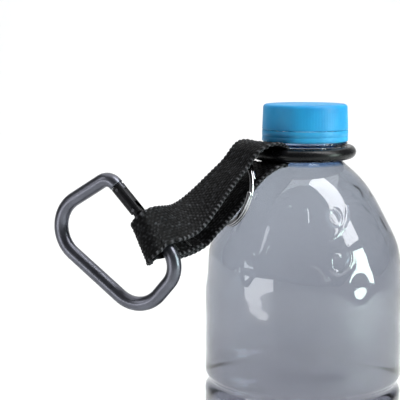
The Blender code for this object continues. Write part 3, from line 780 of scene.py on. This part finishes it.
def strap_stations(step):
    """Stations (middle, width, outward, cup, shift) about every step millimetres along the webbing."""
    def layer(start, end, side, lift=None):
        count = max(2, int(abs(end - start) * STRAP_RUN / step))
        for k in range(count + 1):
            a = start + (end - start) * k / count
            point, run, width, face = strap_frame(a)
            off = half_gap(a) + (lift(a) if lift else 0.0)
            yield point + face * (side * off), width, face * side, cup_at(a), fold_shift(a, run)

    def turn(a, count):
        point, run, width, face = strap_frame(a)
        for k in range(1, count):
            b = math.pi * k / count
            if a > 0.5:
                radial = -face * math.cos(b) + run * math.sin(b)
            else:
                radial = face * math.cos(b) - run * math.sin(b)
            yield point + radial * half_gap(a), width, radial, cup_at(a), fold_shift(a, run)

    def step_out(a):
        return LAYER_STEP * smoothstep((a - STEP_FROM) / (STEP_TO - STEP_FROM))

    around = int(math.pi * TURN_R / step)
    stations = list(layer(INNER_END, 1.0, -1)) + list(turn(1.0, around)) + list(layer(1.0, 0.0, 1, hump))
    stations += list(turn(0.0, around)) + list(layer(0.0, STEP_FROM, -1))
    return stations + list(layer(STEP_FROM, OUTER_END, -1, step_out))[1:]


def yarn_variation(row, column):
    return math.sin(row * 12.9898 + column * 78.233) * 43758.5453 % 1.0


def weave(s, w, face):
    """Height of the yarns, 0 to 1, at distance s along and w across."""
    half = STRAP_W / 2
    edge = half - abs(w)
    if edge < SELVEDGE:
        row = round(s / BEAD_PITCH)
        bead = abs(math.cos(math.pi * (s / BEAD_PITCH + 0.25 * face)))
        return (0.05 + BEAD_HIGH * bead ** 0.8) * (0.85 + 0.15 * yarn_variation(row, 3))
    column = int((w + half) / WARP_PITCH)
    across = abs(math.sin(math.pi * (w + half) / WARP_PITCH)) ** 0.7
    phase = s / WEFT_PITCH + 0.5 * ((column + (1 if face > 0 else 0)) % 2)
    along = abs(math.cos(math.pi * phase)) ** 0.8
    return across * (0.12 + 0.88 * along) * (0.62 + 0.38 * yarn_variation(round(phase), column))


def strap_outline():
    """(w, t, normal_w, normal_t) round the flat section."""
    half_w, half_t, edge_r = STRAP_W / 2 - 0.08, STRAP_T / 2 - 0.06, 0.35
    flat = np.linspace(-half_w + edge_r, half_w - edge_r, 54)
    round_off = [(math.cos(a), math.sin(a)) for a in np.linspace(-math.pi / 2, math.pi / 2, 7)[1:-1]]
    points = [(w, -half_t, 0.0, -1.0) for w in flat]
    points += [(half_w - edge_r + edge_r * c, half_t * s, c, s) for c, s in round_off]
    points += [(w, half_t, 0.0, 1.0) for w in reversed(flat)]
    return points + [(-half_w + edge_r - edge_r * c, -half_t * s, -c, -s) for c, s in round_off]


def build_strap(nylon):
    centre, _out, side, up = ring_frame()
    outline = strap_outline()
    stations = strap_stations(STATION_STEP)
    turn_sign = 1.0 if up.cross(UP.cross(side) * -1).dot(side) > 0 else -1.0
    sections, heights = [], []
    s = 0.0
    last = stations[0][0]
    for middle, width, outward, cup, shift in stations:
        s += (middle - last).length
        last = middle
        row = []
        for w, t, nw, nt in outline:
            h = weave(s, w, 1 if nt >= 0 else -1)
            heights.append(h)
            lift = WEAVE_RELIEF * (h - 0.5)
            here_w = w + nw * lift * 0.6
            base = middle + outward * (t + nt * lift)
            point = base + width * here_w
            if cup > 0.001:
                bent = centre + Matrix.Rotation(turn_sign * here_w / RING_R, 3, up) @ (base - centre)
                point = point.lerp(bent, cup)
            row.append(point + shift * ((here_w + STRAP_W / 2) / STRAP_W))
        sections.append(row)
    piece = sweep("webbing", sections)
    # The yarn heights also feed the material, which paints highlights on the yarn tops and beads from them.
    attribute = piece.data.attributes.new("yarn", "FLOAT", "POINT")
    attribute.data.foreach_set("value", np.array(heights, np.float32) / BEAD_HIGH)
    paint(piece, nylon)
    place(piece, "strap", "webbing", "webbing_strap")


def build_stitches(thread):
    """Zigzag thread on both faces of the lap."""
    for a, node in TACKS:
        point, run, width, face = strap_frame(a)
        middle = point - face * (half_gap(a) + LAYER_STEP / 2)
        reach = LAYER_STEP / 2 + STRAP_T / 2 + 0.05
        pieces = []
        for side in (1, -1):
            path = []
            for k in range(STITCHES + 1):
                x = STITCH_SPAN * (k / STITCHES - 0.5)
                along = STITCH_HALF if k % 2 else -STITCH_HALF
                path.append(middle + width * x + run * along + face * (side * reach))
            pieces.append(sweep("zigzag", tube_sections(path, THREAD_R, 8)))
        row = join(node + "_look", pieces)
        row.data.polygons.foreach_set("use_smooth", [True] * len(row.data.polygons))
        paint(row, thread)
        place(row, "strap", "stitching", node)


# ------------------------------------------------------------------ key ring
def build_key_ring(steel):
    centre = joint_point("key_ring_spin")
    axis = Vector(JOINTS["key_ring_spin"]["axis"]).normalized()
    across = strap_frame(KEY_AT)[2]
    across = (across - axis * across.dot(axis)).normalized()
    up = axis.cross(across)
    sections = []
    per_turn = 120
    count = int(KEY_TURNS * per_turn)
    corner = KEY_CORNER
    for k in range(count + 1):
        a = 2 * math.pi * k / per_turn + 0.6
        rise = KEY_PITCH * (smoothstep((k / per_turn - 0.72) / 0.5) - 0.5)
        radial = across * math.cos(a) + up * math.sin(a)
        ring = []
        for sign_r, sign_h, start in ((1, 1, 0.0), (-1, 1, 0.5), (-1, -1, 1.0), (1, -1, 1.5)):
            for step in range(4):
                b = math.pi * (start + step / 6)
                r = KEY_R - KEY_RADIAL / 2 + sign_r * (KEY_RADIAL / 2 - corner) + corner * math.cos(b)
                h = sign_h * (KEY_AXIAL / 2 - corner) + corner * math.sin(b)
                ring.append(centre + radial * r + axis * (h + rise))
        sections.append(ring)
    piece = sweep("split_key_ring", sections)
    paint(piece, steel)
    place(piece, "key_ring", "ring_steel", "split_ring")


# ------------------------------------------------------------------ carabiner
def plane_point(u, v, n=0.0):
    return joint_point("carabiner_swing") + PLANE_U * u + UP * v + PLANE_N * n


def gate_point(s, inward=0.0, n=0.0):
    gu, gv = gate_direction()
    return plane_point(gu * s - gv * inward, gv * s + gu * inward, n)


def wire_path(fine=0.9):
    """Frame centre line from the hinge round the far side to the nose, as plane (u, v) points."""
    gu, gv = gate_direction()
    corners = [(Vector((u - gu * LOOP_SLIDE, v - gv * LOOP_SLIDE)), r) for (u, v), r in CORNERS]
    order = [corners[3], corners[2], corners[1], corners[0]]
    path = []
    for i, (here, radius) in enumerate(order):
        d_in = (order[(i - 1) % 4][0] - here).normalized()
        d_out = (order[(i + 1) % 4][0] - here).normalized()
        half = d_in.angle(d_out) / 2
        centre = here + (d_in + d_out).normalized() * (radius / math.sin(half))
        start = here + d_in * (radius / math.tan(half)) - centre
        end = here + d_out * (radius / math.tan(half)) - centre
        turn = math.atan2(start.x * end.y - start.y * end.x, start.dot(end))
        steps = max(6, int(abs(turn) * radius / fine))
        for k in range(steps + 1):
            c, s = math.cos(turn * k / steps), math.sin(turn * k / steps)
            path.append(centre + Vector((start.x * c - start.y * s, start.x * s + start.y * c)))
    return path


def prism(name, outline, half, place_point):
    """Flat plate with a small bevel, from an outline of (along, inward) points."""
    rows = []
    for n, grow in ((-half, -0.12), (-half + 0.12, 0.0), (half - 0.12, 0.0), (half, -0.12)):
        cx = sum(p[0] for p in outline) / len(outline)
        cy = sum(p[1] for p in outline) / len(outline)
        rows.append([place_point(x + grow * (x - cx) / 2, y + grow * (y - cy) / 2, n) for x, y in outline])
    return sweep(name, rows, smooth=False)


def build_carabiner(grey):
    hinge_face = GATE_HINGE - TONGUE_HALF
    nose_face = GATE_TIP + 0.45
    start, end = gate_point(hinge_face), gate_point(nose_face)
    loop = joint_point("carabiner_swing")
    path = [Vector(((start - loop).dot(PLANE_U), (start - loop).z))] + wire_path()
    path.append(Vector(((end - loop).dot(PLANE_U), (end - loop).z)))
    rows = []
    count = len(path)
    for i, p in enumerate(path):
        tangent = (path[min(i + 1, count - 1)] - path[max(i - 1, 0)]).normalized()
        rows.append((p, tangent, WIRE_R))
    ends = []
    for p, tangent, sign in ((path[0], rows[0][1], -1), (path[-1], rows[-1][1], 1)):
        ends.append([(p - tangent * (sign * back), tangent, WIRE_R - cut)
                     for back, cut in ((0.25, 0.0), (0.07, 0.09), (0.0, 0.28))])
    rows = list(reversed(ends[0])) + rows[1:-1] + ends[1]
    sections = []
    for p, tangent, radius in rows:
        ring = []
        for k in range(ROD_SEGS):
            a = 2 * math.pi * k / ROD_SEGS
            w = radius * math.cos(a)
            ring.append(plane_point(p.x - tangent.y * w, p.y + tangent.x * w, radius * math.sin(a)))
        sections.append(ring)
    rod = sweep("rod", sections)
    arc = [(GATE_HINGE + HINGE_R * math.cos(b), HINGE_R * math.sin(b))
           for b in np.linspace(-math.pi / 2, math.pi / 2, 13)]
    root = [(hinge_face - 1.0, TONGUE_HALF), (hinge_face - 1.0, -TONGUE_HALF)]
    hinge = prism("hinge_tongue", root + arc, TONGUE_THICK / 2, gate_point)
    hook = [(1.0, -TONGUE_HALF), (1.0, 1.2), (-0.5, 1.2), (-0.8, -0.75), (-2.6, -0.75), (-2.6, -2.0)]
    nose = prism("nose_tongue", [(nose_face + along, inward) for along, inward in hook],
                 TONGUE_THICK / 2, gate_point)
    piece = join("carabiner_rod", [rod, hinge, nose])
    paint(piece, grey)
    place(piece, "carabiner", "grey_anodised", "carabiner_frame")


def dress_cad_nodes(black, pin, spring):
    """The gate and its small parts keep their CAD shape and take materials; the gate is softened at the
    edges.
    """
    for name, mat in (("gate", black), ("gate_hinge_pin", pin), ("gate_latch_pin", pin),
                      ("gate_plunger", pin), ("gate_spring", spring)):
        node = frame["nodes"][name]
        paint(node, mat)
        if name == "gate":
            bevel = node.modifiers.new("edge", "BEVEL")
            bevel.width = 0.00012
            bevel.segments = 2
            bevel.limit_method = "ANGLE"
            bevel.angle_limit = math.radians(35)


# ------------------------------------------------------------------ stage
def build_floor():
    mesh = bpy.data.meshes.new("floor")
    rows = [(-4.0, 0.0), (2.2, 0.0)]
    rows += [(2.2 + 0.9 * math.sin(a), 0.9 - 0.9 * math.cos(a)) for a in np.linspace(0.1, math.pi / 2, 14)]
    rows.append((3.1, 5.0))
    verts = [(x, y, z) for y, z in rows for x in (-5.0, 5.0)]
    faces = [(2 * i, 2 * i + 1, 2 * i + 3, 2 * i + 2) for i in range(len(rows) - 1)]
    mesh.from_pydata(verts, [], faces)
    floor = bpy.data.objects.new("floor", mesh)
    bpy.context.scene.collection.objects.link(floor)
    s = Shader("floor_white", Roughness=0.9)
    s.surface.inputs["Specular IOR Level"].default_value = 0.1
    s.color(s.ramp(s.noise(3.0), ((0.4, (0.92, 0.92, 0.92)), (0.6, (0.94, 0.94, 0.94)))))
    paint(floor, s.mat)


def area_light(name, location, target, size, power, color=(1.0, 1.0, 1.0)):
    data = bpy.data.lights.new(name, "AREA")
    data.shape = "RECTANGLE"
    data.size, data.size_y = size
    data.energy = power
    data.color = color
    light = bpy.data.objects.new(name, data)
    light.location = location
    light.rotation_euler = (Vector(target) - Vector(location)).to_track_quat("-Z", "Y").to_euler()
    bpy.context.scene.collection.objects.link(light)


def build_lights():
    """White ceiling and backdrop, and small lights whose reflections fall on the shoulder."""
    world = bpy.data.worlds.new("studio")
    world.use_nodes = True
    world.node_tree.nodes["Background"].inputs[0].default_value = (0.93, 0.96, 1.0, 1.0)
    world.node_tree.nodes["Background"].inputs[1].default_value = 0.14
    bpy.context.scene.world = world
    top = (0.0, 0.0, 0.18)
    area_light("ceiling", (0.0, 1.1, 2.4), (0.0, 1.1, 0.0), (3.4, 3.4), 52.0)
    area_light("backdrop", (0.0, 0.9, 1.6), (0.0, 3.1, 0.8), (3.0, 0.8), 22.0)
    area_light("key", (0.427, -0.218, 0.839), (0.007, -0.022, 0.187), (0.34, 0.8), 7.8)
    area_light("rim", (0.9, -0.4, 0.33), (-0.02, -0.03, 0.19), (0.3, 0.5), 8.0, (0.78, 0.97, 0.88))
    area_light("left", (-0.776, -0.505, 0.05), (-0.018, -0.03, 0.1575), (0.55, 0.18), 1.5)
    area_light("soft_left", (-0.8, -0.3, 0.5), top, (0.22, 0.5), 1.1)


def build_camera():
    data = bpy.data.cameras.new("camera")
    data.sensor_width = SENSOR
    data.lens = LENS
    data.clip_start = 0.01
    camera = bpy.data.objects.new("camera", data)
    camera.location = CAMERA_AT
    camera.rotation_euler = (math.radians(90) - CAMERA_DOWN, 0.0, 0.0)
    bpy.context.scene.collection.objects.link(camera)
    bpy.context.scene.camera = camera
    bpy.context.scene.view_settings.view_transform = "Standard"


def main():
    build_camera()
    build_floor()
    build_lights()
    blue = blue_plastic("cap_blue_look", False)
    pale_blue = blue_plastic("band_blue_look", True)
    white = metal_material("liner_look", (0.72, 0.74, 0.76), (0.82, 0.83, 0.85), 0.6, 0.0)
    build_bottle(pet_material())
    build_water(water_material())
    build_cap(blue, white)
    build_band(pale_blue)
    build_ring(rubber_material())
    build_strap(webbing_material())
    build_stitches(thread_material())
    build_key_ring(metal_material("key_ring_look", (0.30, 0.30, 0.31), (0.42, 0.42, 0.44), 0.14))
    build_carabiner(carabiner_material())
    black = metal_material("black_anodised_look", (0.006, 0.006, 0.007), (0.012, 0.012, 0.014), 0.42, 0.8)
    pin = metal_material("pin_look", (0.03, 0.03, 0.034), (0.05, 0.05, 0.055), 0.38)
    spring = metal_material("spring_look", (0.5, 0.5, 0.52), (0.6, 0.6, 0.62), 0.25)
    dress_cad_nodes(black, pin, spring)


main()
